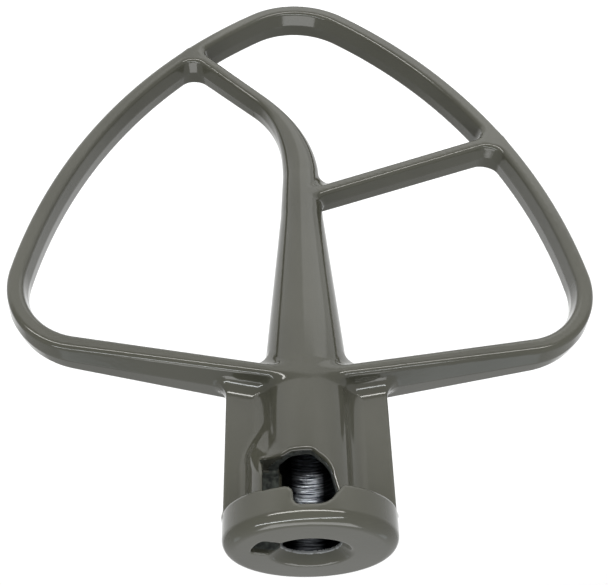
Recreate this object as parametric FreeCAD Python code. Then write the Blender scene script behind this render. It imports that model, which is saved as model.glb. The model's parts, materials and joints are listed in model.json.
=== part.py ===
import FreeCAD, Part
import math
import os

# Flat beater of a bowl-lift stand mixer, hung as it is used: the hub is on top and the
# frame hangs below it. Z is the mixer shaft's axis, the frame lies in the XZ plane, and the
# front is -Y. The origin is on the shaft axis where the bore's wall begins, just inside
# the lead-in chamfer. Lengths are in millimetres and angles in degrees.
#
# The real beater is one coated die casting. It is divided here at its natural junctions
# into the members that a die designer would name, and they meet face to face.

# Hub. Depths are measured down the axis from the hub's end face.
BORE_R = 6.45
BORE_DEPTH = 34.0
CHAMFER_R = 8.75
CHAMFER_DEPTH = 2.15
COLLAR_R = 18.6
COLLAR_DEPTH = 8.1
COLLAR_END_ROUND = 2.8
COLLAR_BACK_ROUND = 0.6
BARREL_R = 9.9
BARREL_DEPTH = 41.6

# Slot for the cross pin of the mixer's shaft: a keyway, then a window to turn it in.
KEYWAY_ANGLE = -18.0
KEYWAY_WIDTH = 7.5
KEYWAY_R = 12.5
KEYWAY_DEPTH = 17.7
WINDOW_DEPTH = 18.5
POCKET_SIDE_X = 4.3
POCKET_DEPTH = 3.9
# The window seen from the front: x, depth and rounding of each corner, from the pocket's
# floor round past the keyway and back.
WINDOW_CORNERS = [
    (POCKET_SIDE_X, POCKET_DEPTH, 1.5),
    (POCKET_SIDE_X, COLLAR_DEPTH, 1.0),
    (10.2, COLLAR_DEPTH, 0),
    (10.2, WINDOW_DEPTH, 0.6),
    (-3.3, WINDOW_DEPTH, 4.2),
    (-6.0, 8.6, 1.5),
    (-2.4, POCKET_DEPTH, 1.5),
]

# Thickening of the hub's wall around the keyway.
BOSS_R = 13.9
BOSS_SHOULDER_DEPTH = 21.5
BOSS_FOOT_DEPTH = 27.5
BOSS_FOOT_R = 9.4
# The boss's front falls away towards its foot along an arc through these y, depth places.
BOSS_FRONT_HEAD = (-10.0, 15.5)
BOSS_FRONT_MIDDLE = (-5.2, 19.9)
BOSS_FRONT_FOOT = (-1.0, BOSS_FOOT_DEPTH)

# Flat webs that tie the arms back to the collar.
RIB_REACH = 18.5
RIB_THICKNESS = 4.0
RIB_OVERLAP_DEPTH = 40.0

# Outer loop: its centreline is an arm, a shoulder arc, a long side arc and a tip arc.
LOOP_HALF_WIDTH = 69.85
TIP_DEPTH = 167.7
TIP_R = 22.0
SIDE_R = 138.0
SHOULDER_R = 19.0
ARM_SLOPE = 10.6
ARM_REFERENCE_X = 28.0
ARM_REFERENCE_DEPTH = 42.9
LOOP_WIDTH = 4.9
LOOP_THICKNESS = 9.4
LOOP_EDGE_R = 1.2
ARM_ROOT_THICKNESS = 17.4

# Spine: a tapered post under the hub that bends over and joins the loop.
SPINE_WAIST_DEPTH = 89.0
SPINE_WAIST_R = 5.6
SPINE_BEND_DEPTH = 103.0
SPINE_BEND_START_R = 4.9
SPINE_BEND_START_EDGE_R = 4.7
SPINE_BEND_R = 37.0
SPINE_BEND_ANGLE = 47.0
BAR_WIDTH = 4.0
BAR_THICKNESS = 8.4
BAR_EDGE_R = 1.2

# Cross branch from the spine to the other side of the loop.
BRANCH_START_DEPTH = 93.8
BRANCH_SLOPE = 21.45
BRANCH_WIDTH = 4.1
BRANCH_THICKNESS = 8.3

# Cutting bodies run this far past what they cut.
OVERRUN = 1.0

AXIS_Y = FreeCAD.Vector(0, 1, 0)
AXIS_Z = FreeCAD.Vector(0, 0, 1)
ORIGIN = FreeCAD.Vector(0, 0, 0)


def level(depth):
    """Height of a point that lies the given depth below the hub's end face."""
    return CHAMFER_DEPTH - depth


def plan(x, z, y=0.0):
    """Point of the frame's plane, moved back by y."""
    return FreeCAD.Vector(x, y, z)


def polar(centre, radius, angle):
    """Point on a circle in the frame's plane; the angle runs from +X towards +Z."""
    turn = math.radians(angle)
    return centre + plan(radius * math.cos(turn), radius * math.sin(turn))


def angle_of(centre, point):
    """Angle at which the centre sees the point, from +X towards +Z."""
    return math.degrees(math.atan2(point.z - centre.z, point.x - centre.x))


def mirrored(shape):
    """The same member on the other side of the shaft axis."""
    return shape.mirror(ORIGIN, FreeCAD.Vector(1, 0, 0))


def rounded_outline(corners):
    """Closed wire through the corners; each corner is a point and its rounding radius."""
    starts = []
    ends = []
    middles = []
    count = len(corners)
    for index, (corner, radius) in enumerate(corners):
        back = (corners[index - 1][0] - corner).normalize()
        ahead = (corners[(index + 1) % count][0] - corner).normalize()
        half_angle = back.getAngle(ahead) / 2
        trim = radius / math.tan(half_angle)
        inward = (back + ahead).normalize()
        centre = corner + inward * (radius / math.sin(half_angle))
        starts.append(corner + back * trim)
        ends.append(corner + ahead * trim)
        middles.append(centre - inward * radius)
    edges = []
    for index, (_, radius) in enumerate(corners):
        if radius > 0:
            edges.append(Part.Arc(starts[index], middles[index], ends[index]).toShape())
        edges.append(Part.LineSegment(ends[index], starts[(index + 1) % count]).toShape())
    return Part.Wire(edges)


def section(centre, heading, width, thickness, edge_r):
    """Rounded rectangle across a bar that runs along heading in the frame's plane."""
    turn = math.radians(heading)
    across = plan(-math.sin(turn), math.cos(turn)) * (width / 2)
    through = AXIS_Y * (thickness / 2)
    corners = [
        centre - across - through,
        centre + across - through,
        centre + across + through,
        centre - across + through,
    ]
    return rounded_outline([(corner, edge_r) for corner in corners])


def arc_bar(centre, radius, from_angle, to_angle, width, thickness, edge_r):
    """Bar of constant section along an arc in the frame's plane."""
    start = polar(centre, radius, from_angle)
    profile = section(start, from_angle + 90, width, thickness, edge_r)
    return Part.Face(profile).revolve(centre, AXIS_Y, from_angle - to_angle)


def straight_bar(start, end, width, thickness, edge_r):
    """Bar of constant section between two points of the frame's plane."""
    profile = section(start, angle_of(start, end), width, thickness, edge_r)
    return Part.Face(profile).extrude(end - start)


def circles_meet(centre_a, radius_a, centre_b, radius_b, towards):
    """The crossing of two circles in the frame's plane that lies on the given side."""
    between = centre_b - centre_a
    distance = between.Length
    along = (radius_a**2 - radius_b**2 + distance**2) / (2 * distance)
    height = math.sqrt(radius_a**2 - along**2)
    unit = between / distance
    foot = centre_a + unit * along
    side = plan(unit.z, -unit.x)
    if side.dot(towards) < 0:
        side = side * -1
    return foot + side * height


def line_meets_circle(start, heading, centre, radius):
    """Where a ray in the frame's plane leaves the circle."""
    turn = math.radians(heading)
    direction = plan(math.cos(turn), math.sin(turn))
    offset = start - centre
    half = offset.dot(direction)
    reach = -half + math.sqrt(half**2 - offset.dot(offset) + radius**2)
    return start + direction * reach


# Places of the loop's arcs, on the +X side.

ARM_REFERENCE = plan(ARM_REFERENCE_X, level(ARM_REFERENCE_DEPTH))
SHOULDER_CENTRE_X = LOOP_HALF_WIDTH - SHOULDER_R
SHOULDER_DROP = (
    SHOULDER_R + (SHOULDER_CENTRE_X - ARM_REFERENCE_X) * math.sin(math.radians(ARM_SLOPE))
) / math.cos(math.radians(ARM_SLOPE))
SHOULDER_CENTRE = plan(SHOULDER_CENTRE_X, ARM_REFERENCE.z - SHOULDER_DROP)
TIP_CENTRE = plan(0, level(TIP_DEPTH) + TIP_R)
SIDE_CENTRE = circles_meet(
    TIP_CENTRE, SIDE_R - TIP_R, SHOULDER_CENTRE, SIDE_R - SHOULDER_R, plan(-1, 1)
)
ARM_END_ANGLE = 90 - ARM_SLOPE
SIDE_TOP_ANGLE = angle_of(SIDE_CENTRE, SHOULDER_CENTRE)
SIDE_TIP_ANGLE = angle_of(SIDE_CENTRE, TIP_CENTRE)

SPINE_BEND_CENTRE = plan(SPINE_BEND_R, level(SPINE_BEND_DEPTH))
SPINE_BEND_END = polar(SPINE_BEND_CENTRE, SPINE_BEND_R, 180 + SPINE_BEND_ANGLE)
SPINE_ARM_HEADING = SPINE_BEND_ANGLE - 90
SPINE_ARM_END = line_meets_circle(SPINE_BEND_END, SPINE_ARM_HEADING, SIDE_CENTRE, SIDE_R)
SPINE_JOINT_ANGLE = angle_of(SIDE_CENTRE, SPINE_ARM_END)

# The branch runs to -X; its end is found on the mirrored, +X side.
BRANCH_START = plan(0, level(BRANCH_START_DEPTH))
BRANCH_END = line_meets_circle(BRANCH_START, -BRANCH_SLOPE, SIDE_CENTRE, SIDE_R)
BRANCH_JOINT_ANGLE = angle_of(SIDE_CENTRE, BRANCH_END)


def cylinder(radius, from_depth, to_depth):
    """Cylinder about the shaft axis between two depths."""
    base = plan(0, level(to_depth))
    return Part.makeCylinder(radius, to_depth - from_depth, base, AXIS_Z)


def shaft_space():
    """Lead-in chamfer and blind bore."""
    bore = cylinder(BORE_R, -OVERRUN, BORE_DEPTH)
    chamfer = Part.makeCone(
        BORE_R, CHAMFER_R, CHAMFER_DEPTH, plan(0, level(CHAMFER_DEPTH)), AXIS_Z
    )
    return bore.fuse(chamfer)


def keyway_space():
    """Slot beside the bore that the shaft's cross pin passes up."""
    slot = Part.makeBox(
        KEYWAY_R + OVERRUN,
        KEYWAY_WIDTH,
        KEYWAY_DEPTH + OVERRUN,
        plan(0, level(KEYWAY_DEPTH), -KEYWAY_WIDTH / 2),
    )
    slot.rotate(ORIGIN, AXIS_Z, KEYWAY_ANGLE)
    return slot.common(cylinder(KEYWAY_R, -OVERRUN, KEYWAY_DEPTH))


def window_space():
    """Opening in the hub's front that lets the pin turn and drop into its pocket."""
    corners = [(plan(x, level(depth)), radius) for x, depth, radius in WINDOW_CORNERS]
    outline = rounded_outline(corners)
    return Part.Face(outline).extrude(AXIS_Y * -(COLLAR_R + OVERRUN))


def hub_spaces():
    """Everything that is open inside the hub."""
    return shaft_space().fuse([keyway_space(), window_space()])


def hub_collar():
    """Thick round collar at the hub's end."""
    blank = cylinder(COLLAR_R, 0, COLLAR_DEPTH)
    middle = level(COLLAR_DEPTH / 2)
    end_edge = [edge for edge in blank.Edges if edge.BoundBox.ZMin > middle]
    blank = blank.makeFillet(COLLAR_END_ROUND, end_edge)
    back_edge = [edge for edge in blank.Edges if edge.BoundBox.ZMax < middle]
    blank = blank.makeFillet(COLLAR_BACK_ROUND, back_edge)
    return blank.cut(hub_spaces())


def hub_barrel():
    """Round barrel around the bore, solid below it."""
    return cylinder(BARREL_R, COLLAR_DEPTH, BARREL_DEPTH).cut(hub_spaces())


def boss_blank():
    """Part-round wall around the keyway, with a sloping shoulder and a falling front."""
    wall = cylinder(BOSS_R, COLLAR_DEPTH, BOSS_FOOT_DEPTH)
    outline = Part.makePolygon([
        plan(0, level(COLLAR_DEPTH)),
        plan(BOSS_R, level(COLLAR_DEPTH)),
        plan(BOSS_R, level(BOSS_SHOULDER_DEPTH)),
        plan(BOSS_FOOT_R, level(BOSS_FOOT_DEPTH)),
        plan(0, level(BOSS_FOOT_DEPTH)),
        plan(0, level(COLLAR_DEPTH)),
    ])
    shoulder = Part.Face(outline).extrude(AXIS_Y * -BOSS_R)
    head, middle, foot = [
        plan(0, level(depth), y)
        for y, depth in (BOSS_FRONT_HEAD, BOSS_FRONT_MIDDLE, BOSS_FRONT_FOOT)
    ]
    rest_of_side = Part.makePolygon([
        foot,
        plan(0, foot.z, 0),
        plan(0, level(COLLAR_DEPTH), 0),
        plan(0, level(COLLAR_DEPTH), -BOSS_R),
        plan(0, head.z, -BOSS_R),
        head,
    ])
    side = Part.Wire([Part.Arc(head, middle, foot).toShape()] + rest_of_side.Edges)
    falling_front = Part.Face(side).extrude(plan(BOSS_R + OVERRUN, 0))
    return wall.common(shoulder).common(falling_front)


def rib_blank():
    """Flat web beside the hub, from the collar down into the arm."""
    height = RIB_OVERLAP_DEPTH - COLLAR_DEPTH
    corner = plan(0, level(RIB_OVERLAP_DEPTH), -RIB_THICKNESS / 2)
    return Part.makeBox(RIB_REACH, RIB_THICKNESS, height, corner)


def arm_blank():
    """Sloping arm that deepens from the loop's thickness towards the hub."""
    heading = -ARM_SLOPE
    outer = polar(SHOULDER_CENTRE, SHOULDER_R, ARM_END_ANGLE)
    length = outer.x / math.cos(math.radians(ARM_SLOPE))
    root = outer - polar(ORIGIN, length, heading)
    return Part.makeLoft(
        [
            section(root, heading, LOOP_WIDTH, ARM_ROOT_THICKNESS, LOOP_EDGE_R),
            section(outer, heading, LOOP_WIDTH, LOOP_THICKNESS, LOOP_EDGE_R),
        ],
        True,
        True,
    )


def shoulder():
    """Rounded top corner of the loop."""
    return arc_bar(
        SHOULDER_CENTRE, SHOULDER_R, ARM_END_ANGLE, SIDE_TOP_ANGLE,
        LOOP_WIDTH, LOOP_THICKNESS, LOOP_EDGE_R,
    )


def side_rail(from_angle, to_angle):
    """Stretch of the loop's long side arc."""
    return arc_bar(
        SIDE_CENTRE, SIDE_R, from_angle, to_angle, LOOP_WIDTH, LOOP_THICKNESS, LOOP_EDGE_R
    )


def tip_bow():
    """Rounded tip of the loop."""
    return arc_bar(
        TIP_CENTRE, TIP_R, SIDE_TIP_ANGLE, -180 - SIDE_TIP_ANGLE,
        LOOP_WIDTH, LOOP_THICKNESS, LOOP_EDGE_R,
    )


def spine_post():
    """Tapered round post under the barrel."""
    profile = Part.makePolygon([
        plan(0, level(BARREL_DEPTH)),
        plan(BARREL_R, level(BARREL_DEPTH)),
        plan(SPINE_WAIST_R, level(SPINE_WAIST_DEPTH)),
        plan(SPINE_BEND_START_R, level(SPINE_BEND_DEPTH)),
        plan(0, level(SPINE_BEND_DEPTH)),
        plan(0, level(BARREL_DEPTH)),
    ])
    return Part.Face(profile).revolve(ORIGIN, AXIS_Z, 360)


def spine_bend():
    """Bend of the spine, where the round post thins into a flat bar."""
    steps = 4
    sections = []
    for step in range(steps + 1):
        share = step / steps
        angle = 180 + SPINE_BEND_ANGLE * share
        fade = (1 - share) ** 2
        width = BAR_WIDTH + (2 * SPINE_BEND_START_R - BAR_WIDTH) * fade
        thickness = BAR_THICKNESS + (2 * SPINE_BEND_START_R - BAR_THICKNESS) * fade
        edge_r = BAR_EDGE_R + (SPINE_BEND_START_EDGE_R - BAR_EDGE_R) * fade
        centre = polar(SPINE_BEND_CENTRE, SPINE_BEND_R, angle)
        sections.append(section(centre, angle + 90, width, thickness, edge_r))
    return Part.makeLoft(sections, True, False)


def spine_arm():
    """Straight end of the spine that runs into the loop."""
    return straight_bar(SPINE_BEND_END, SPINE_ARM_END, BAR_WIDTH, BAR_THICKNESS, BAR_EDGE_R)


def cross_branch():
    """Straight branch from the spine to the loop."""
    bar = straight_bar(BRANCH_START, BRANCH_END, BRANCH_WIDTH, BRANCH_THICKNESS, BAR_EDGE_R)
    return mirrored(bar)


def build_members():
    """Every member by name, each trimmed where it meets the ones before it."""
    spaces = hub_spaces()
    barrel_blank = cylinder(BARREL_R, COLLAR_DEPTH, BARREL_DEPTH)
    post = spine_post()
    hub_blank = barrel_blank.fuse(post)
    arm = arm_blank().cut(hub_blank)
    rib = rib_blank().cut(barrel_blank).cut(arm_blank())
    boss = boss_blank().cut(barrel_blank).cut(rib_blank())
    bend = spine_bend()
    rail_to_spine = side_rail(SIDE_TOP_ANGLE, SPINE_JOINT_ANGLE)
    rail_spine_to_tip = side_rail(SPINE_JOINT_ANGLE, SIDE_TIP_ANGLE)
    rail_to_branch = mirrored(side_rail(SIDE_TOP_ANGLE, BRANCH_JOINT_ANGLE))
    rail_branch_to_tip = mirrored(side_rail(BRANCH_JOINT_ANGLE, SIDE_TIP_ANGLE))
    members = {
        "hub_collar": hub_collar(),
        "hub_barrel": hub_barrel(),
        "keyway_boss": boss.cut(spaces),
        "right_rib": rib.cut(spaces),
        "left_rib": mirrored(rib),
        "right_arm": arm,
        "left_arm": mirrored(arm),
        "right_shoulder": shoulder(),
        "left_shoulder": mirrored(shoulder()),
        "right_upper_rail": rail_to_spine,
        "right_lower_rail": rail_spine_to_tip,
        "left_upper_rail": rail_to_branch,
        "left_lower_rail": rail_branch_to_tip,
        "tip_bow": tip_bow(),
        "spine_post": post,
        "spine_bend": bend,
        "spine_arm": spine_arm().cut(rail_to_spine.fuse(rail_spine_to_tip)),
        "cross_branch": cross_branch().cut(
            post.fuse([bend, rail_to_branch, rail_branch_to_tip])
        ),
    }
    return members


def main():
    """Write one file per member and print what each one measures."""
    os.makedirs("parts", exist_ok=True)
    for name, shape in build_members().items():
        solid = shape.removeSplitter()
        box = solid.BoundBox
        print(
            f"{name}: valid {solid.isValid()}, solids {len(solid.Solids)}, "
            f"{solid.Volume:.0f} mm3, x {box.XMin:.1f} {box.XMax:.1f}, "
            f"y {box.YMin:.1f} {box.YMax:.1f}, z {box.ZMin:.1f} {box.ZMax:.1f}"
        )
        solid.exportStep(f"parts/{name}.step")


main()
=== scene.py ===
import json
import math

import bpy
import numpy as np
from mathutils import Matrix, Vector


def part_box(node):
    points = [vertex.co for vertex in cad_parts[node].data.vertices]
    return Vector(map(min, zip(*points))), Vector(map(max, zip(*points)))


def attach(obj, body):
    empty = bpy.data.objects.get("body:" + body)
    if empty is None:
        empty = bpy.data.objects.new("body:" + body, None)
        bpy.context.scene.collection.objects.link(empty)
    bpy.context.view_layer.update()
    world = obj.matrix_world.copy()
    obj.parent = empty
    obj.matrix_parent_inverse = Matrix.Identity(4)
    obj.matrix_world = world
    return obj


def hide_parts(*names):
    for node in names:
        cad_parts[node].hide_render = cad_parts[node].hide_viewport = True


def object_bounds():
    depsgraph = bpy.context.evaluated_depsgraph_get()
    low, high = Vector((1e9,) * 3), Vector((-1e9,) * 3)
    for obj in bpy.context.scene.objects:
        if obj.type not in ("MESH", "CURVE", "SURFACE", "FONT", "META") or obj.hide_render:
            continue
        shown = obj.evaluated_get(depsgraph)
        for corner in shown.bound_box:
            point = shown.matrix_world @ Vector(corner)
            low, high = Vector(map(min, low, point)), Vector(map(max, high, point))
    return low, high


# The look of a coated, die-cast flat beater. The casting is one seamless skin with real
# fillets, worked out from distance fields, and its machined bore has a wall of bare metal.
#
# The fields work in millimetres. x and y are the CAD's own, the front is -y, and depth runs
# down the shaft axis from the hub's end face. A field is negative inside the metal.
# Headings in the frame's plane turn from +x towards +depth.

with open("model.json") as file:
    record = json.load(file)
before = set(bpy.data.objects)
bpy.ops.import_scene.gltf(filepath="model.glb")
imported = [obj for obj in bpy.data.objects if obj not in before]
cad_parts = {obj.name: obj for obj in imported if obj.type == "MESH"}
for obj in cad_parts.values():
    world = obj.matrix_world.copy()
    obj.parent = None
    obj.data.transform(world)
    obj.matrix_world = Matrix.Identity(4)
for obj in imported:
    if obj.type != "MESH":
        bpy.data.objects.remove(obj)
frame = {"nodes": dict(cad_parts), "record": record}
cad_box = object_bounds()
MM = 0.001


def box_mm(node):
    """Lowest and highest corner of a CAD node, in millimetres."""
    low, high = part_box(node)
    return np.array(low) / MM, np.array(high) / MM


# ------------------------------------------------------------ sizes read from the CAD frame

MOUNTS = {mount["name"]: mount for mount in frame["record"]["mounts"]}
COLLAR_LOW, COLLAR_HIGH = box_mm("hub_collar")
BARREL_LOW, _ = box_mm("hub_barrel")
RIB_LOW, _ = box_mm("left_rib")
_, SHOULDER_HIGH = box_mm("right_shoulder")
TIP_LOW, TIP_HIGH = box_mm("tip_bow")

END_Z = COLLAR_HIGH[2]
COLLAR_R = -COLLAR_LOW[1]
COLLAR_DEPTH = END_Z - COLLAR_LOW[2]
BARREL_R = -BARREL_LOW[1]
BARREL_DEPTH = END_Z - BARREL_LOW[2]
BORE_R = MOUNTS["shaft_bore"]["dims"]["r_mm"]
BORE_DEPTH = END_Z + MOUNTS["shaft_bore"]["dims"]["length_mm"]
CHAMFER_DEPTH = END_Z
RIB_REACH = -RIB_LOW[0]
LOOP_THICKNESS = 2 * TIP_HIGH[1]

# ------------------------------------------------------------ driving sizes of the skin

LOOP_WIDTH = 4.9
LOOP_EDGE_R = 1.2
LOOP_DRAFT = 0.12
LOOP_HALF_WIDTH = SHOULDER_HIGH[0] - LOOP_WIDTH / 2
TIP_DEPTH = END_Z - TIP_LOW[2] - LOOP_WIDTH / 2
TIP_R = 22.0
SIDE_R = 138.0
SHOULDER_R = 19.0
ARM_SLOPE = math.radians(10.6)
ARM_ROOT = np.array([0.0, 37.75])
ARM_DEEPENING = 0.131
ARM_DEEPENS_FROM_X = 62.0
ARM_DEEPENING_SOFTNESS = 6.0
ARM_DEEPENING_FADE_DEPTH = 58.0
ARM_DEEPENING_FADE_LENGTH = 14.0

SPINE_DEPTHS = [BARREL_DEPTH, 89.0, 103.0]
SPINE_RADII = [BARREL_R, 5.6, 4.9]
BEND_R = 37.0
BEND_ANGLE = math.radians(47.0)
BEND_MORPH_LENGTH = 30.0
POST_OVERLAP = 0.5
BAR_HALF_WIDTH = 2.1
BAR_HALF_THICKNESS = 4.2

# The bars' rounded ends stop this far inside the loop's centreline, clear of its far side.
BAR_STOP = 3.2

BRANCH_START = np.array([0.0, 93.8])
BRANCH_SLOPE = math.radians(21.45)
BRANCH_HALF_WIDTH = 2.15
BRANCH_HALF_THICKNESS = 4.15

# Fillets seen from the front where a bar meets the loop, on its hub side and its tip side.
SPINE_HUB_FILLET_R = 4.2
SPINE_TIP_FILLET_R = 2.0
BRANCH_HUB_FILLET_R = 4.2
BRANCH_TIP_FILLET_R = 3.6
FACE_BLEND_WIDTH = 6.0

# Fillets around the round spine. In the crotches on the tip side they are large near y = 0
# and fall off towards the faces.
ARM_FILLET_R = 1.8
BRANCH_FILLET_R = 1.2
CROTCH_R = 5.5
ARM_CROTCH_Y = [4.0, 7.5]
BRANCH_CROTCH_Y = [2.0, 4.0]
BRANCH_CROTCH_FACE_R = 1.5
ARM_CROTCH_LEAD = 1.0
BRANCH_CROTCH_LEAD = 1.5
CROTCH_BLEND_LENGTH = 3.0
BRANCH_FILLET_END_X = 6.0
ARM_FILLETS_END_DEPTH = 60.0
FILLET_CHANGE_LENGTH = 20.0
LEAST_R = 1e-6

COLLAR_FACE_R = 2.8
COLLAR_BACK_R = 0.7
COLLAR_OVERLAP = 0.6
COLLAR_FILLET_R = 0.9

RIB_HALF_THICKNESS = 2.0
RIB_EDGE_R = 0.6
RIB_FILLET_R = 3.3

CHAMFER_R = 8.8
CHAMFER_OVERRUN = 1.0
BORE_LIP_R = 0.3
KEYWAY_HEADING = math.radians(-18.0)
KEYWAY_HALF_WIDTH = 3.75
KEYWAY_R = 12.5
KEYWAY_DEPTH = 17.7
KEYWAY_CORNER_R = 0.8
KEYWAY_LIP_R = 0.35

# The window's two parts seen from the front: x, depth and rounding of each corner.
POCKET_CORNERS = [
    (4.3, 3.9, 1.3),
    (4.3, 18.5, 0.1),
    (-3.4, 18.5, 4.2),
    (-6.0, 8.6, 1.5),
    (-2.4, 3.9, 1.5),
]
SLOT_CORNERS = [
    (10.2, COLLAR_DEPTH, 0.1),
    (10.2, 18.5, 0.7),
    (0.0, 18.5, 0.1),
    (0.0, COLLAR_DEPTH, 0.1),
]
POCKET_STEP_R = 2.0
# The rounding of the window's lip changes with depth.
WINDOW_LIP_DEPTHS = [3.0, 6.5, COLLAR_DEPTH, 10.0]
WINDOW_LIP_RADII = [0.8, 0.9, 1.2, 0.85]

BOSS_R = 13.9
BOSS_FILLET_R = 1.7
# Seen from the front, a slanted line cuts the boss off towards the tip.
BOSS_SHOULDER_NORMAL = np.array([0.8, 0.6])
BOSS_SHOULDER_DEPTH = 21.5
BOSS_SHOULDER_R = 2.0
# Seen from the side, the boss's front falls back from its head to its foot: y and depth.
BOSS_HEAD = np.array([-9.9, 14.8])
BOSS_FOOT = np.array([-2.6, 28.0])
BOSS_FALL_RANGE = (-0.4, 1.2)
BOSS_FRONT_STEEPNESS = 0.6
BOSS_FRONT_R = 1.5

LINING_PROUD = 0.03
LINING_THICKNESS = 0.7
LINING_START_DEPTH = 2.5
LINING_SETBACK = 0.6


# ------------------------------------------------------------ field arithmetic


def length(a, b):
    return np.sqrt(a * a + b * b)


def round_join(a, b, r):
    """Two solids as one, with a fillet of radius r where they meet."""
    hollow = length(np.maximum(r - a, 0), np.maximum(r - b, 0))
    return np.maximum(r, np.minimum(a, b)) - hollow


def round_overlap(a, b, r):
    """What two solids share, with its new edge rounded to radius r."""
    return -round_join(-a, -b, r)


def round_cut(a, space, r):
    """A solid less a space, with the lip rounded to radius r."""
    return -round_join(-a, space, r)


def rounded_section(side, through, edge_r):
    """A bar's field from how far a point is past its side and past its face."""
    past_side = side + edge_r
    past_face = through + edge_r
    corner = length(np.maximum(past_side, 0), np.maximum(past_face, 0))
    return corner + np.minimum(np.maximum(past_side, past_face), 0) - edge_r


def ease(share):
    """Smooth step from 0 to 1."""
    t = np.clip(share, 0, 1)
    return t * t * (3 - 2 * t)


def direction(heading):
    return np.array([math.cos(heading), math.sin(heading)])


def heading_of(vector):
    return math.atan2(vector[1], vector[0])


def off_line(x, depth, start, end):
    """Distance in the plane to a straight centreline, and how far along it a point is."""
    run = end - start
    reach = math.hypot(*run)
    run = run / reach
    along = (x - start[0]) * run[0] + (depth - start[1]) * run[1]
    along = np.clip(along, 0, reach)
    return length(x - start[0] - along * run[0], depth - start[1] - along * run[1]), along


def off_arc(x, depth, centre, radius, from_heading, to_heading):
    """Distance in the plane to an arc, and how far along it a point is."""
    middle = direction((from_heading + to_heading) / 2)
    spread = (to_heading - from_heading) / 2
    outward = (x - centre[0]) * middle[0] + (depth - centre[1]) * middle[1]
    across = (depth - centre[1]) * middle[0] - (x - centre[0]) * middle[1]
    turn = np.arctan2(across, outward)
    held = np.clip(turn, -abs(spread), abs(spread))
    on_arc = abs(length(outward, across) - radius)
    to_end = length(outward - radius * np.cos(held), across - radius * np.sin(held))
    along = radius * (held * math.copysign(1, spread) + abs(spread))
    return np.where(held == turn, on_arc, to_end), along


def convex_outline(x, depth, corners):
    """Field of a convex outline whose corners, x, depth and rounding, run clockwise."""
    inside = None
    for start, end in zip(corners, corners[1:] + corners[:1]):
        run = (end[0] - start[0], end[1] - start[1])
        past = (x - start[0]) * run[1] - (depth - start[1]) * run[0]
        past = past / math.hypot(*run)
        inside = past if inside is None else round_overlap(inside, past, start[2])
    return inside


def circles_meet(centre_a, radius_a, centre_b, radius_b):
    """The crossing of two circles that lies to the left when looking from a to b."""
    between = centre_b - centre_a
    distance = math.hypot(*between)
    unit = between / distance
    along = (radius_a**2 - radius_b**2 + distance**2) / (2 * distance)
    height = math.sqrt(radius_a**2 - along**2)
    return centre_a + unit * along + np.array([unit[1], -unit[0]]) * height


def line_meets_circle(start, heading, centre, radius):
    """Where a ray leaves a circle."""
    run = direction(heading)
    offset = start - centre
    half = offset @ run
    return start + run * (-half + math.sqrt(half**2 - offset @ offset + radius**2))


# ------------------------------------------------------------ centrelines, on the +x side

ARM_NORMAL = direction(ARM_SLOPE - math.pi / 2)
SHOULDER_X = LOOP_HALF_WIDTH - SHOULDER_R
SHOULDER_CENTRE = np.array([
    SHOULDER_X,
    ARM_ROOT[1] + (SHOULDER_R + SHOULDER_X * math.sin(ARM_SLOPE)) / math.cos(ARM_SLOPE),
])
ARM_END = SHOULDER_CENTRE + ARM_NORMAL * SHOULDER_R
TIP_CENTRE = np.array([0.0, TIP_DEPTH - TIP_R])
SIDE_CENTRE = circles_meet(TIP_CENTRE, SIDE_R - TIP_R, SHOULDER_CENTRE, SIDE_R - SHOULDER_R)
SIDE_TOP_HEADING = heading_of(SHOULDER_CENTRE - SIDE_CENTRE)
SIDE_TIP_HEADING = heading_of(TIP_CENTRE - SIDE_CENTRE)
BEND_CENTRE = np.array([BEND_R, SPINE_DEPTHS[-1]])
BEND_END = BEND_CENTRE + direction(math.pi - BEND_ANGLE) * BEND_R
SPINE_ARM_HEADING = math.pi / 2 - BEND_ANGLE
SPINE_ARM_END = line_meets_circle(BEND_END, SPINE_ARM_HEADING, SIDE_CENTRE, SIDE_R - BAR_STOP)
# The branch runs to -x, so its far end is found on the +x side and mirrored.
BRANCH_END = line_meets_circle(BRANCH_START, BRANCH_SLOPE, SIDE_CENTRE, SIDE_R - BAR_STOP)
MIRROR = np.array([-1.0, 1.0])


# ------------------------------------------------------------ the casting's members


def loop_plan(x, depth):
    """How far a point is past the loop's side, seen from the front."""
    x = abs(x)
    arm, _ = off_line(x, depth, ARM_ROOT, ARM_END)
    shoulder, _ = off_arc(
        x, depth, SHOULDER_CENTRE, SHOULDER_R, ARM_SLOPE - math.pi / 2, SIDE_TOP_HEADING
    )
    side, _ = off_arc(x, depth, SIDE_CENTRE, SIDE_R, SIDE_TOP_HEADING, SIDE_TIP_HEADING)
    tip, _ = off_arc(
        x, depth, TIP_CENTRE, TIP_R, SIDE_TIP_HEADING, math.pi - SIDE_TIP_HEADING
    )
    nearest = np.minimum(np.minimum(arm, shoulder), np.minimum(side, tip))
    return nearest - LOOP_WIDTH / 2


def loop_half_thickness(x, depth):
    """The loop's half thickness: constant, but deeper in the arms towards the hub."""
    inward = ARM_DEEPENS_FROM_X - abs(x)
    soft = ARM_DEEPENING_SOFTNESS
    deepening = np.where(inward > soft, inward, np.maximum(inward + soft, 0) ** 2 / (4 * soft))
    in_arms = 1 - ease((depth - ARM_DEEPENING_FADE_DEPTH) / ARM_DEEPENING_FADE_LENGTH)
    return (LOOP_THICKNESS + ARM_DEEPENING * deepening * in_arms) / 2


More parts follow.
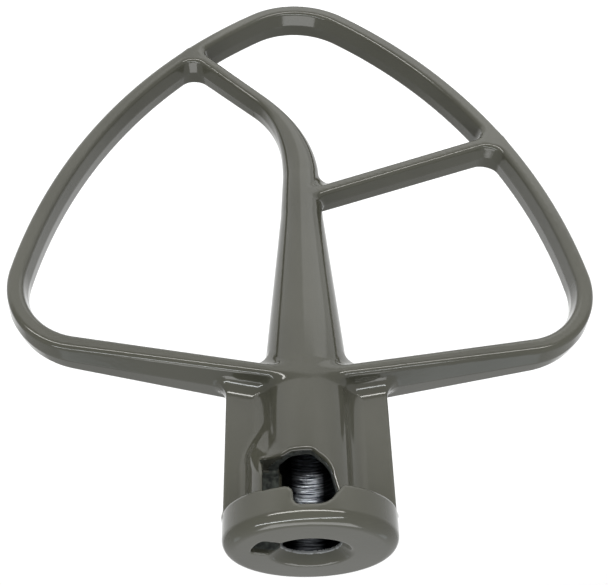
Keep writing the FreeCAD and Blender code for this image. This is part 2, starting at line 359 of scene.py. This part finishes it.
def bars(x, y, depth):
    """Loop, spine arm and branch: flat bars whose faces run into each other flush."""
    loop = loop_plan(x, depth)
    spine, spine_along = off_line(x, depth, BEND_END, SPINE_ARM_END)
    branch, branch_along = off_line(x, depth, BRANCH_START * MIRROR, BRANCH_END * MIRROR)
    spine = spine - BAR_HALF_WIDTH
    branch = branch - BRANCH_HALF_WIDTH
    hub_side_of_spine = (depth - BEND_END[1]) < (x - BEND_END[0]) * math.tan(SPINE_ARM_HEADING)
    hub_side_of_branch = (depth - BRANCH_START[1]) < -x * math.tan(BRANCH_SLOPE)
    spine_r = np.where(hub_side_of_spine, SPINE_HUB_FILLET_R, SPINE_TIP_FILLET_R)
    branch_r = np.where(hub_side_of_branch, BRANCH_HUB_FILLET_R, BRANCH_TIP_FILLET_R)
    plan = round_join(round_join(loop, spine, spine_r), branch, branch_r)

    loop_half = loop_half_thickness(x, depth)
    spine_share = spine_along / math.hypot(*(SPINE_ARM_END - BEND_END))
    branch_share = branch_along / math.hypot(*(BRANCH_END - BRANCH_START))
    spine_half = BAR_HALF_THICKNESS + (LOOP_THICKNESS / 2 - BAR_HALF_THICKNESS) * spine_share
    branch_rise = LOOP_THICKNESS / 2 - BRANCH_HALF_THICKNESS
    branch_half = BRANCH_HALF_THICKNESS + branch_rise * branch_share
    bar_half = np.where(spine < branch, spine_half, branch_half)
    blend = ease((np.minimum(spine, branch) - loop) / FACE_BLEND_WIDTH + 0.5)
    half = bar_half + (loop_half - bar_half) * blend
    side = plan + LOOP_DRAFT * np.minimum(abs(y), half)
    return rounded_section(side, abs(y) - half, LOOP_EDGE_R)


def spine(x, y, depth):
    """Barrel, tapered post, and the bend where the round post thins into a flat bar."""
    held = np.minimum(depth, SPINE_DEPTHS[-1])
    post = length(x, y) - np.interp(held, SPINE_DEPTHS, SPINE_RADII)
    post = np.maximum(post, depth - SPINE_DEPTHS[-1] - POST_OVERLAP)
    bend, along = off_arc(x, depth, BEND_CENTRE, BEND_R, math.pi, math.pi - BEND_ANGLE)
    morph = ease(along / BEND_MORPH_LENGTH)
    start_r = SPINE_RADII[-1]
    half_width = start_r + (BAR_HALF_WIDTH - start_r) * morph
    half_thickness = start_r + (BAR_HALF_THICKNESS - start_r) * morph
    edge_r = start_r + (LOOP_EDGE_R - start_r) * morph
    side = bend - half_width + LOOP_DRAFT * morph * np.minimum(abs(y), half_thickness)
    bend = rounded_section(side, abs(y) - half_thickness, edge_r)
    return np.minimum(post, bend)


def spine_fillet(x, y, depth):
    """Radius of the fillets between the round spine and the bars that leave it."""
    past_arm = depth - ARM_ROOT[1] - abs(x) * math.tan(ARM_SLOPE)
    arm_crotch = np.interp(abs(y), ARM_CROTCH_Y, [CROTCH_R, ARM_FILLET_R])
    in_crotch = ease((past_arm + ARM_CROTCH_LEAD) / CROTCH_BLEND_LENGTH)
    arm_r = ARM_FILLET_R + (arm_crotch - ARM_FILLET_R) * in_crotch

    past_branch = (depth - BRANCH_START[1]) * math.cos(BRANCH_SLOPE) + x * math.sin(BRANCH_SLOPE)
    branch_crotch = np.interp(abs(y), BRANCH_CROTCH_Y, [CROTCH_R, BRANCH_CROTCH_FACE_R])
    in_crotch = ease((past_branch + BRANCH_CROTCH_LEAD) / CROTCH_BLEND_LENGTH)
    branch_r = BRANCH_FILLET_R + (branch_crotch - BRANCH_FILLET_R) * in_crotch
    branch_r = branch_r * (1 - ease(x / BRANCH_FILLET_END_X))

    change = ease((depth - ARM_FILLETS_END_DEPTH) / FILLET_CHANGE_LENGTH)
    return arm_r + (branch_r - arm_r) * change + LEAST_R


def ribs(x, y, depth):
    """Flat webs that tie the arms back to the collar."""
    side = np.maximum(abs(x) - RIB_REACH, depth - BARREL_DEPTH)
    return rounded_section(side, abs(y) - RIB_HALF_THICKNESS, RIB_EDGE_R)


def collar(x, y, depth):
    """Thick round collar with a large round at its end face and a soft back edge."""
    edge_r = np.where(depth < COLLAR_DEPTH / 2, COLLAR_FACE_R, COLLAR_BACK_R)
    through = abs(depth - COLLAR_DEPTH / 2) - COLLAR_DEPTH / 2
    return rounded_section(length(x, y) - COLLAR_R, through, edge_r)


def keyway_boss(x, y, depth):
    """Part-round wall around the keyway, with a sloping shoulder and a falling front."""
    across, down = BOSS_SHOULDER_NORMAL
    shoulder = (x - BOSS_R) * across + (depth - BOSS_SHOULDER_DEPTH) * down
    wall = round_overlap(length(x, y) - BOSS_R, shoulder, BOSS_SHOULDER_R)
    head_y, head_depth = BOSS_HEAD
    foot_y, foot_depth = BOSS_FOOT
    fall = np.clip((depth - head_depth) / (foot_depth - head_depth), *BOSS_FALL_RANGE)
    front = head_y + (foot_y - head_y) * (1 - (1 - fall) * abs(1 - fall))
    wall = round_overlap(wall, (front - y) * BOSS_FRONT_STEEPNESS, BOSS_FRONT_R)
    return np.maximum(np.maximum(wall, y), -x)


# ------------------------------------------------------------ the spaces in the hub


def shaft_space(x, y, depth):
    """Lead-in chamfer and blind bore."""
    out = length(x, y)
    slope = (CHAMFER_R - BORE_R) / CHAMFER_DEPTH
    chamfer = (out - CHAMFER_R + depth * slope) / math.hypot(1, slope)
    bore = np.maximum(out - BORE_R, depth - BORE_DEPTH)
    chamfer = np.maximum(chamfer, depth - CHAMFER_DEPTH - CHAMFER_OVERRUN)
    return np.minimum(chamfer, bore)


def keyway_space(x, y, depth):
    """Slot beside the bore that the shaft's cross pin passes up."""
    out = x * math.cos(KEYWAY_HEADING) + y * math.sin(KEYWAY_HEADING)
    across = y * math.cos(KEYWAY_HEADING) - x * math.sin(KEYWAY_HEADING)
    sides = abs(across) - KEYWAY_HALF_WIDTH
    slot = round_overlap(sides, length(x, y) - KEYWAY_R, KEYWAY_CORNER_R)
    return np.maximum(np.maximum(slot, -out), depth - KEYWAY_DEPTH)


def window_space(x, y, depth):
    """Opening in the hub's front that lets the pin turn and drop into its pocket."""
    pocket = convex_outline(x, depth, POCKET_CORNERS)
    slot = convex_outline(x, depth, SLOT_CORNERS)
    return np.maximum(round_join(pocket, slot, POCKET_STEP_R), y)


# ------------------------------------------------------------ the two fields


def casting(x, y, depth):
    """The whole coated casting."""
    solid = round_join(spine(x, y, depth), bars(x, y, depth), spine_fillet(x, y, depth))
    solid = round_join(solid, ribs(x, y, depth), RIB_FILLET_R)
    solid = round_join(solid, keyway_boss(x, y, depth), BOSS_FILLET_R)
    solid = np.maximum(solid, COLLAR_DEPTH - COLLAR_OVERLAP - depth)
    solid = round_join(solid, collar(x, y, depth), COLLAR_FILLET_R)
    solid = round_cut(solid, keyway_space(x, y, depth), KEYWAY_LIP_R)
    solid = round_cut(solid, shaft_space(x, y, depth), BORE_LIP_R)
    lip_r = np.interp(depth, WINDOW_LIP_DEPTHS, WINDOW_LIP_RADII)
    return round_cut(solid, window_space(x, y, depth), lip_r)


def bore_lining(x, y, depth):
    """Thin wall of bare metal around the bore, open where the hub is open."""
    wall = abs(length(x, y) - BORE_R + LINING_PROUD - LINING_THICKNESS / 2)
    wall = wall - LINING_THICKNESS / 2
    wall = np.maximum(wall, LINING_START_DEPTH - depth)
    wall = np.maximum(wall, depth - BORE_DEPTH)
    wall = np.maximum(wall, LINING_SETBACK - window_space(x, y, depth))
    return np.maximum(wall, LINING_SETBACK - keyway_space(x, y, depth))


# ------------------------------------------------------------ fields into meshes

# A field that is only roughly a distance is met in short, damped steps.
LEAST_SQUARE_SLOPE = 0.05
LONGEST_MOVE = 0.3
# Blocks whose middle is farther from the surface than this share of their diagonal are skipped.
BLOCK_REACH = 0.7


def gradient(field, points, step=0.02):
    """Slope of a field at each point, by central differences."""
    slopes = np.empty_like(points)
    for axis in range(3):
        offset = np.zeros(3)
        offset[axis] = step
        ahead = field(*(points + offset).T)
        behind = field(*(points - offset).T)
        slopes[:, axis] = (ahead - behind) / (2 * step)
    return slopes


def on_surface(field, points, rounds=1):
    """Points moved along the slope onto the field's surface."""
    for _ in range(rounds):
        slopes = gradient(field, points)
        square = np.maximum((slopes**2).sum(1), LEAST_SQUARE_SLOPE)
        move = np.clip(field(*points.T) / square, -LONGEST_MOVE, LONGEST_MOVE)
        points = points - slopes * move[:, None]
    return points


def sample(field, lines, block=8):
    """Field values on a grid, exact in every block that the surface may cross."""
    shape = [len(line) for line in lines]
    starts = [np.arange(0, n, block) for n in shape]
    middles = [line[np.minimum(s + block // 2, len(line) - 1)] for line, s in zip(lines, starts)]
    reach = [
        np.interp(s + block, np.arange(len(line)), line) - line[s]
        for line, s in zip(lines, starts)
    ]
    coarse = field(*[axis.ravel() for axis in np.meshgrid(*middles, indexing="ij")])
    radius = np.sqrt(sum(r**2 for r in np.meshgrid(*reach, indexing="ij"))).ravel()
    counts = [len(s) for s in starts]
    values = np.where(coarse < 0, -1.0, 1.0).reshape(counts)
    for axis, n in enumerate(shape):
        values = values.repeat(block, axis=axis).take(np.arange(n), axis=axis)
    close = np.flatnonzero(abs(coarse) < radius * BLOCK_REACH)
    near = np.array(np.unravel_index(close, counts))
    step = np.arange(block)
    index = [
        np.minimum(near[axis][:, None] * block + step, shape[axis] - 1) for axis in range(3)
    ]
    i = index[0][:, :, None, None]
    j = index[1][:, None, :, None]
    k = index[2][:, None, None, :]
    i, j, k = [a.ravel() for a in np.broadcast_arrays(i, j, k)]
    values[i, j, k] = field(lines[0][i], lines[1][j], lines[2][k])
    return values


def surface_net(field, lines):
    """Closed quad mesh of a field's surface: one vertex in each grid cell that it crosses."""
    values = sample(field, lines)
    inside = values < 0
    cells = [n - 1 for n in values.shape]
    crossings = []
    rings = []
    for axis in range(3):
        near = [slice(None)] * 3
        far = [slice(None)] * 3
        near[axis] = slice(None, -1)
        far[axis] = slice(1, None)
        base = np.argwhere(inside[tuple(near)] != inside[tuple(far)])
        ahead = base.copy()
        ahead[:, axis] += 1
        value = values[tuple(base.T)]
        share = value / (value - values[tuple(ahead.T)])
        point = np.stack([lines[a][base[:, a]] for a in range(3)], 1)
        point[:, axis] += share * (lines[axis][ahead[:, axis]] - point[:, axis])
        corners = []
        for back, left in ((0, 0), (1, 0), (1, 1), (0, 1)):
            cell = base.copy()
            cell[:, (axis + 1) % 3] -= back
            cell[:, (axis + 2) % 3] -= left
            corners.append(np.ravel_multi_index(cell.T, cells))
        ring = np.stack(corners, 1)
        rings.append(np.where((value < 0)[:, None], ring, ring[:, ::-1]))
        crossings.append(point)
    _, quads = np.unique(np.concatenate(rings), return_inverse=True)
    quads = quads.reshape(-1, 4)
    crossing = np.concatenate(crossings).repeat(4, axis=0)
    count = np.bincount(quads.ravel())
    points = [np.bincount(quads.ravel(), crossing[:, axis]) / count for axis in range(3)]
    return np.stack(points, 1), quads


def relaxed(field, points, quads, rounds):
    """Vertices evened out along the surface, so that the quads follow the shape."""
    ends = np.concatenate([quads[:, [i, (i + 1) % 4]] for i in range(4)])
    count = np.bincount(ends[:, 0], minlength=len(points))[:, None]
    for _ in range(rounds):
        mean = np.empty_like(points)
        for axis in range(3):
            mean[:, axis] = np.bincount(ends[:, 0], points[ends[:, 1], axis], len(points))
        points = points + 0.5 * (mean / count - points)
        points = on_surface(field, points)
    return points


def skin(name, field, lines, rounds):
    """A field's surface as a smooth mesh object in the CAD frame, in metres."""
    points, quads = surface_net(field, lines)
    points = on_surface(field, points, 2)
    points = relaxed(field, points, quads, rounds)
    points = on_surface(field, points)
    slopes = gradient(field, points)
    slopes /= np.maximum(np.linalg.norm(slopes, axis=1), 1e-6)[:, None]
    place = points * [1, 1, -1] + [0, 0, END_Z]
    mesh = bpy.data.meshes.new(name)
    mesh.from_pydata(place * MM, [], quads[:, ::-1])
    mesh.polygons.foreach_set("use_smooth", np.ones(len(quads), bool))
    mesh.normals_split_custom_set_from_vertices(slopes * [1, 1, -1])
    piece = bpy.data.objects.new(name, mesh)
    bpy.context.collection.objects.link(piece)
    return piece


def grid_line(*stops):
    """Grid positions; each stop but the last is a place and the spacing up to the next."""
    runs = []
    for (start, spacing), (end, _) in zip(stops, stops[1:]):
        count = max(1, round((end - start) / spacing))
        runs.append(np.linspace(start, end, count, endpoint=False))
    runs.append([stops[-1][0]])
    return np.concatenate(runs)


# ------------------------------------------------------------ the two pieces

# Grid spacing at the hub and in the frame, and how far the grid runs past the shapes.
FINE = 0.46
BROAD = 0.79
BEYOND = 1.5
FINE_PAST_BARREL = 5.0
# Finer still, as shares of FINE: the hub's end, and the bore wall across and along the bore.
END_SHARE = 0.9
ACROSS_BORE_SHARE = 0.64
ALONG_BORE_SHARE = 0.7

side_line = grid_line(
    (-LOOP_HALF_WIDTH - LOOP_WIDTH, BROAD), (-COLLAR_R - BEYOND, FINE),
    (COLLAR_R + BEYOND, BROAD), (LOOP_HALF_WIDTH + LOOP_WIDTH, 0),
)
through_line = grid_line((-COLLAR_R - BEYOND, FINE), (COLLAR_R + BEYOND, 0))
depth_line = grid_line(
    (-BEYOND, FINE * END_SHARE), (COLLAR_DEPTH + BEYOND, FINE),
    (BARREL_DEPTH + FINE_PAST_BARREL, BROAD), (TIP_DEPTH + LOOP_WIDTH, 0),
)
casting_skin = skin("beater_casting", casting, [side_line, through_line, depth_line], rounds=4)
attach(casting_skin, "root")
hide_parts(*sorted(frame["nodes"]))

bore_side = grid_line((-BORE_R - BEYOND, FINE * ACROSS_BORE_SHARE), (BORE_R + BEYOND, 0))
bore_depth = grid_line(
    (LINING_START_DEPTH - BEYOND, FINE * ALONG_BORE_SHARE), (BORE_DEPTH + BEYOND, 0),
)
bore_wall = skin("bore_wall", bore_lining, [bore_side, bore_side, bore_depth], rounds=2)
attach(bore_wall, "root")


# ------------------------------------------------------------ materials


def material(name):
    """New node material: the material, its node tree and its Principled shader."""
    made = bpy.data.materials.new(name)
    made.use_nodes = True
    return made, made.node_tree, made.node_tree.nodes["Principled BSDF"]


def noise(tree, place, scale, detail, roughness=0.5):
    """Noise texture over the given coordinates."""
    texture = tree.nodes.new("ShaderNodeTexNoise")
    texture.inputs["Scale"].default_value = scale
    texture.inputs["Detail"].default_value = detail
    texture.inputs["Roughness"].default_value = roughness
    tree.links.new(place, texture.inputs["Vector"])
    return texture.outputs["Fac"]


def two_tone(tree, value, low, low_colour, high, high_colour):
    """Colour that goes from one to another while a value rises from low to high."""
    ramp = tree.nodes.new("ShaderNodeValToRGB")
    first, last = ramp.color_ramp.elements
    first.position = low
    first.color = (*low_colour, 1)
    last.position = high
    last.color = (*high_colour, 1)
    tree.links.new(value, ramp.inputs["Fac"])
    return ramp.outputs["Color"]


def mapped(tree, value, start, end, at_start=0, at_end=1):
    """A value that goes from at_start to at_end while another goes from start to end."""
    node = tree.nodes.new("ShaderNodeMapRange")
    node.inputs["From Min"].default_value = start
    node.inputs["From Max"].default_value = end
    node.inputs["To Min"].default_value = at_start
    node.inputs["To Max"].default_value = at_end
    tree.links.new(value, node.inputs["Value"])
    return node.outputs["Result"]


def arithmetic(tree, operation, *values):
    """The result of a math node on one or two values."""
    node = tree.nodes.new("ShaderNodeMath")
    node.operation = operation
    for socket, value in zip(node.inputs, values):
        tree.links.new(value, socket)
    return node.outputs["Value"]


def mix(tree, blend_type, first, second, share=1):
    """Two colours mixed; the second and the share are each a constant or another node."""
    node = tree.nodes.new("ShaderNodeMix")
    node.data_type = "RGBA"
    node.blend_type = blend_type
    tree.links.new(first, node.inputs["A"])
    for name, value in (("B", second), ("Factor", share)):
        if isinstance(value, bpy.types.NodeSocket):
            tree.links.new(value, node.inputs[name])
        else:
            node.inputs[name].default_value = value
    return node.outputs["Result"]


def relief(tree, shader, height, strength, distance):
    """Bump too fine for the mesh: the distance is in metres."""
    bump = tree.nodes.new("ShaderNodeBump")
    bump.inputs["Strength"].default_value = strength
    bump.inputs["Distance"].default_value = distance
    tree.links.new(height, bump.inputs["Height"])
    tree.links.new(bump.outputs["Normal"], shader.inputs["Normal"])


def object_place(tree):
    """A point's place in the CAD frame, whole and as x, y and z."""
    place = tree.nodes.new("ShaderNodeTexCoord").outputs["Object"]
    parts = tree.nodes.new("ShaderNodeSeparateXYZ")
    tree.links.new(place, parts.inputs["Vector"])
    return place, parts.outputs["X"], parts.outputs["Y"], parts.outputs["Z"]


WORN_MARGIN = 0.7
WORN_DEPTH = 3.4
WORN_STRENGTH = 0.5


def worn_mouth(tree):
    """Ragged mask that is up where the shaft has rubbed the coat off the bore's mouth."""
    place, _, _, z = object_place(tree)
    flat = tree.nodes.new("ShaderNodeVectorMath")
    flat.operation = "MULTIPLY"
    flat.inputs[1].default_value = (1, 1, 0)
    tree.links.new(place, flat.inputs[0])
    out = tree.nodes.new("ShaderNodeVectorMath")
    out.operation = "LENGTH"
    tree.links.new(flat.outputs["Vector"], out.inputs[0])
    near = mapped(tree, out.outputs["Value"], (BORE_R + WORN_MARGIN) * MM, (BORE_R + 0.1) * MM)
    rag = noise(tree, place, 700, 5, 0.7)
    edge = mapped(tree, arithmetic(tree, "ADD", near, rag), 1.34, 1.46)
    start = (END_Z - WORN_DEPTH) * MM
    at_mouth = mapped(tree, z, start, start + 0.4 * MM, 0, WORN_STRENGTH)
    return arithmetic(tree, "MULTIPLY", edge, at_mouth)


def coat_material():
    """Glossy grey-olive coat with a faint orange peel and slow changes of colour."""
    made, tree, shader = material("glossy_coat")
    place = object_place(tree)[0]
    drift = noise(tree, place, 28, 3)
    tone = two_tone(tree, drift, 0.3, (0.032, 0.032, 0.024), 0.7, (0.044, 0.044, 0.034))
    colour = mix(tree, "MIX", tone, (0.24, 0.25, 0.26, 1), worn_mouth(tree))
    tree.links.new(colour, shader.inputs["Base Color"])
    haze = noise(tree, place, 240, 4)
    tree.links.new(mapped(tree, haze, 0, 1, 0.08, 0.14), shader.inputs["Roughness"])
    relief(tree, shader, noise(tree, place, 650, 2), 0.25, 0.00006)
    shader.inputs["IOR"].default_value = 1.46
    return made


def bare_metal():
    """Machined aluminium with fine broken rings, painted bright in the middle below the mouth as
    a reflection streak, with painted shade at the sides.
    """
    made, tree, shader = material("bare_metal")
    place, x, _, z = object_place(tree)
    stretch = tree.nodes.new("ShaderNodeMapping")
    stretch.inputs["Scale"].default_value = (160, 160, 2600)
    tree.links.new(place, stretch.inputs["Vector"])
    rings = noise(tree, stretch.outputs["Vector"], 1, 5, 0.6)
    tone = two_tone(tree, rings, 0.42, (0.03, 0.035, 0.045), 0.66, (0.70, 0.75, 0.82))
    # Painted reflection and painted shade: the base colour is bright in a narrow streak down the
    # middle of the bore wall, dark at the sides, and darker towards the mouth.
    below_mouth = mapped(tree, z, (END_Z - 6) * MM, (END_Z - 11) * MM, 0.12, 1)
    in_middle = mapped(tree, arithmetic(tree, "ABSOLUTE", x), 1.9 * MM, 3.7 * MM, 1, 0.05)
    painted_streak_and_shade = arithmetic(tree, "MULTIPLY", below_mouth, in_middle)
    tree.links.new(mix(tree, "MULTIPLY", tone, painted_streak_and_shade), shader.inputs["Base Color"])
    relief(tree, shader, rings, 0.9, 0.00014)
    shader.inputs["Metallic"].default_value = 1
    shader.inputs["Roughness"].default_value = 0.32
    return made


def keyway_finish():
    """Thin, dull overspray inside the keyway, near black as painted shade of the deep recess."""
    made, tree, shader = material("keyway_finish")
    grain = noise(tree, object_place(tree)[0], 900, 4)
    # Painted shade: a near-black colour stands in for the shade deep inside the keyway and
    # behind the window.
    tone = two_tone(tree, grain, 0.35, (0.010, 0.012, 0.011), 0.75, (0.055, 0.062, 0.055))
    tree.links.new(tone, shader.inputs["Base Color"])
    relief(tree, shader, grain, 0.6, 0.0001)
    shader.inputs["Roughness"].default_value = 0.75
    shader.inputs["Specular IOR Level"].default_value = 0.2
    return made


PAINTED_SHADE_REACH = 0.25
COAT_RIM = 1.2
LINING_CLEARANCE = 0.2


def paint_keyway_shade(piece):
    """Give the casting's faces inside the keyway and behind the window the near-black
    painted-shade material.
    """
    mesh = piece.data
    centres = np.empty(len(mesh.polygons) * 3)
    mesh.polygons.foreach_get("center", centres)
    x, y, z = centres.reshape(-1, 3).T / MM
    depth = END_Z - z
    out = length(x, y)
    inner = keyway_space(x, y, depth) < PAINTED_SHADE_REACH
    behind = (window_space(x, y, depth) < PAINTED_SHADE_REACH) & (out < BARREL_R - COAT_RIM)
    within = (inner | behind) & (depth > COAT_RIM) & (out > BORE_R + LINING_CLEARANCE)
    mesh.polygons.foreach_set("material_index", within.astype(np.int32))


casting_skin.data.materials.append(coat_material())
# The second material is painted shade for the keyway and the hollow behind the window.
casting_skin.data.materials.append(keyway_finish())
paint_keyway_shade(casting_skin)
bore_wall.data.materials.append(bare_metal())


# ------------------------------------------------------------ stage, light and camera


# In metres.
FLOOR_SIZE = 6
FLOOR_CENTRE_Y = 0.6
FLOOR_DROP = 0.28
MIDDLE = (0, 0, -0.06)

ROOM_DIM = 0.40
ROOM_BRIGHT = 0.8
ROOM_BRIGHT_SIDE = (-0.6, -0.1, 0.77)

CAMERA_PLACE = Vector((12.26, -188.955, 64.713)) * MM
CAMERA_PITCH = math.radians(55.4)
CAMERA_YAW = math.radians(-5.43)
CAMERA_ROLL = math.radians(5.02)


def floor():
    """Large square floor with a plain pale finish, well below the beater."""
    centre = (0, FLOOR_CENTRE_Y, cad_box[0].z - FLOOR_DROP)
    bpy.ops.mesh.primitive_plane_add(size=FLOOR_SIZE, location=centre)
    plane = bpy.context.object
    plane.name = "floor"
    made, _, shader = material("floor")
    shader.inputs["Base Color"].default_value = (0.92, 0.92, 0.92, 1)
    shader.inputs["Roughness"].default_value = 0.9
    shader.inputs["Specular IOR Level"].default_value = 0
    plane.data.materials.append(made)


def softbox(name, place, target, width, height, power, colour=(1, 1, 1)):
    """Rectangular area light that faces a target."""
    light = bpy.data.lights.new(name, "AREA")
    light.shape = "RECTANGLE"
    light.size = width
    light.size_y = height
    light.energy = power
    light.color = colour
    lamp = bpy.data.objects.new(name, light)
    lamp.location = place
    lamp.rotation_euler = (Vector(target) - Vector(place)).to_track_quat("-Z", "Y").to_euler()
    bpy.context.collection.objects.link(lamp)
    lamp.visible_camera = False


def camera():
    """Camera above the hub's end and in front, with the hub nearest."""
    ahead = Vector((0, math.cos(CAMERA_PITCH), -math.sin(CAMERA_PITCH)))
    right = Vector((1, 0, 0))
    up = right.cross(ahead)
    turn = Matrix.Rotation(CAMERA_YAW, 3, "Z")
    ahead, right, up = turn @ ahead, turn @ right, turn @ up
    rolled_right = right * math.cos(CAMERA_ROLL) + up * math.sin(CAMERA_ROLL)
    rolled_up = up * math.cos(CAMERA_ROLL) - right * math.sin(CAMERA_ROLL)
    # The beater lies on its back before this camera: its front is up and its tip is far.
    lying = Matrix(((-1, 0, 0), (0, 0, -1), (0, -1, 0)))
    axes = [lying @ axis for axis in (rolled_right, rolled_up, -ahead)]
    turned = Matrix(axes).transposed().to_4x4()
    data = bpy.data.cameras.new("camera")
    data.sensor_width = 36
    data.lens = 54.47
    data.shift_y = -0.0088
    data.clip_start = 0.01
    made = bpy.data.objects.new("camera", data)
    made.matrix_world = Matrix.Translation(CAMERA_PLACE) @ turned
    bpy.context.collection.objects.link(made)
    bpy.context.scene.camera = made


def room_light():
    """Soft white room, brightest from above and from the -x side."""
    world = bpy.data.worlds.new("room")
    world.use_nodes = True
    tree = world.node_tree
    place = tree.nodes.new("ShaderNodeTexCoord")
    towards = tree.nodes.new("ShaderNodeVectorMath")
    towards.operation = "DOT_PRODUCT"
    towards.inputs[1].default_value = ROOM_BRIGHT_SIDE
    tree.links.new(place.outputs["Generated"], towards.inputs[0])
    strength = mapped(tree, towards.outputs["Value"], -1, 1, ROOM_DIM, ROOM_BRIGHT)
    background = tree.nodes["Background"]
    background.inputs["Color"].default_value = (1, 1, 1, 1)
    tree.links.new(strength, background.inputs["Strength"])
    bpy.context.scene.world = world


floor()
softbox("front_strip", (0.15, -1.0, 0.05), MIDDLE, 2.2, 0.12, 15, (1, 0.98, 0.95))
softbox("top_strip", (0.15, -0.35, 0.93), MIDDLE, 2.0, 0.08, 10, (0.95, 0.98, 1))
softbox("ceiling", (0, 0.9, 2.2), (0, 0.9, 0), 2.2, 1.2, 27)
softbox("low_fill", (-0.18, -0.29, -0.42), (-0.18, -0.29, 0), 0.45, 0.27, 0.35)
for name, x in (("left_window", 0.75), ("right_window", -0.75)):
    softbox(name, (x, 1.2, 0.85), MIDDLE, 0.4, 0.2, 0.12, (0.78, 0.90, 1))
room_light()
bpy.context.scene.view_settings.view_transform = "Standard"
camera()
